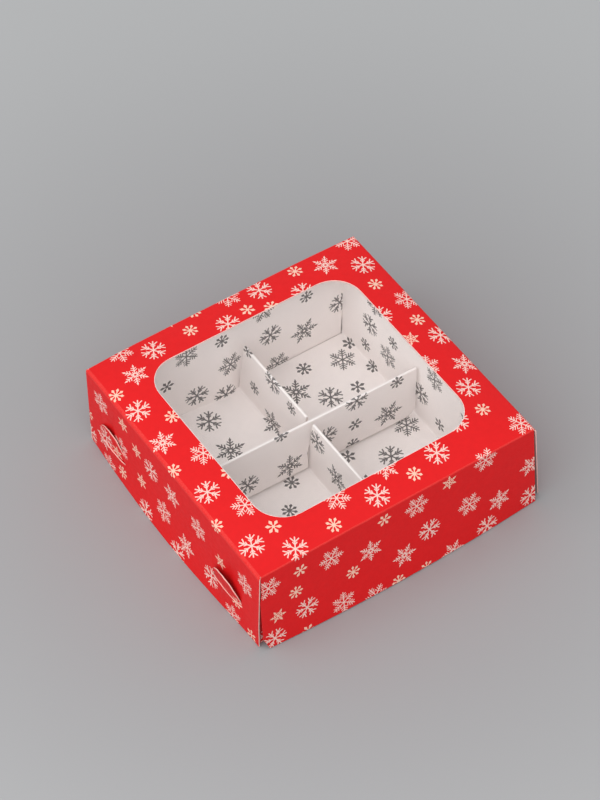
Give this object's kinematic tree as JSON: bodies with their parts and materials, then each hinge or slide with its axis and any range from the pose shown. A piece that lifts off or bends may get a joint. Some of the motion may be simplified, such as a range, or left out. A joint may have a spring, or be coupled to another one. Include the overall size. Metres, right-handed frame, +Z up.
{
  "type": "windowed candy box",
  "caption": "Flat square paperboard candy box: tray with a white insert, hinged windowed lid with side skirts held by lock tabs, and a cross divider that makes cells for sweets.",
  "frame": {"origin": "middle of the underside of the base panel, on the surface that the box stands on", "axes": "+X along the front from left to right, +Y from front to back, +Z up"},
  "size_m": [0.1288, 0.1202, 0.0425],
  "materials": {
    "red_print": "coated board printed red with scattered white snowflakes, satin",
    "white_print": "uncoated white board printed with scattered grey snowflakes, matte",
    "clear_film": "thin clear window film"
  },
  "bodies": {
    "tray": {"base_panel": "red_print", "front_wall": "red_print", "back_wall": "red_print", "left_wall": "red_print", "right_wall": "red_print", "corner_flap_front_left": "white_print", "corner_flap_front_right": "white_print", "corner_flap_back_left": "white_print", "corner_flap_back_right": "white_print", "ledge_front": "white_print", "ledge_back": "white_print", "ledge_left": "white_print", "ledge_right": "white_print", "inner_wall_front": "white_print", "inner_wall_back": "white_print", "inner_wall_left": "white_print", "inner_wall_right": "white_print", "floor_left": "white_print", "floor_right": "white_print", "ridge_divider": "white_print", "cross_divider": "white_print"},
    "lid": {"lid_panel": "red_print", "window_film": "clear_film"},
    "front_flap": {"front_flap": "red_print"},
    "left_skirt": {"left_skirt": "red_print"},
    "right_skirt": {"right_skirt": "red_print"},
    "tab_left_back": {"lock_tab_left_back": "red_print"},
    "tab_left_front": {"lock_tab_left_front": "red_print"},
    "tab_right_back": {"lock_tab_right_back": "red_print"},
    "tab_right_front": {"lock_tab_right_front": "red_print"}
  },
  "joints": [
    {"name": "lid_hinge", "type": "hinge", "parent": "tray", "child": "lid", "pos_m": [0, 0.0575, 0.04], "axis": [-1, 0, 0], "range_deg": [0, 130], "deforming": ["lock_tab_left_back", "lock_tab_left_front", "lock_tab_right_back", "lock_tab_right_front"]},
    {"name": "front_flap_crease", "type": "hinge", "parent": "lid", "child": "front_flap", "pos_m": [0, -0.0575, 0.04], "axis": [-1, 0, 0], "range_deg": [-4, 85]},
    {"name": "left_skirt_crease", "type": "hinge", "parent": "lid", "child": "left_skirt", "pos_m": [-0.06, 0, 0.04], "axis": [0, 1, 0], "range_deg": [0, 90], "deforming": ["lock_tab_left_back", "lock_tab_left_front"]},
    {"name": "right_skirt_crease", "type": "hinge", "parent": "lid", "child": "right_skirt", "pos_m": [0.06, 0, 0.04], "axis": [0, -1, 0], "range_deg": [0, 86], "deforming": ["lock_tab_right_back", "lock_tab_right_front"]},
    {"name": "tab_left_back_bend", "type": "hinge", "parent": "tray", "child": "tab_left_back", "pos_m": [-0.06026, 0.041, 0.011], "axis": [0, -1, 0], "range_deg": [0, 35]},
    {"name": "tab_left_front_bend", "type": "hinge", "parent": "tray", "child": "tab_left_front", "pos_m": [-0.06035, -0.0375, 0.011], "axis": [0, -1, 0], "range_deg": [0, 35]},
    {"name": "tab_right_back_bend", "type": "hinge", "parent": "tray", "child": "tab_right_back", "pos_m": [0.06096, 0.041, 0.011], "axis": [0, 1, 0], "range_deg": [0, 35]},
    {"name": "tab_right_front_bend", "type": "hinge", "parent": "tray", "child": "tab_right_front", "pos_m": [0.06235, -0.0375, 0.011], "axis": [0, 1, 0], "range_deg": [0, 35]}
  ]
}
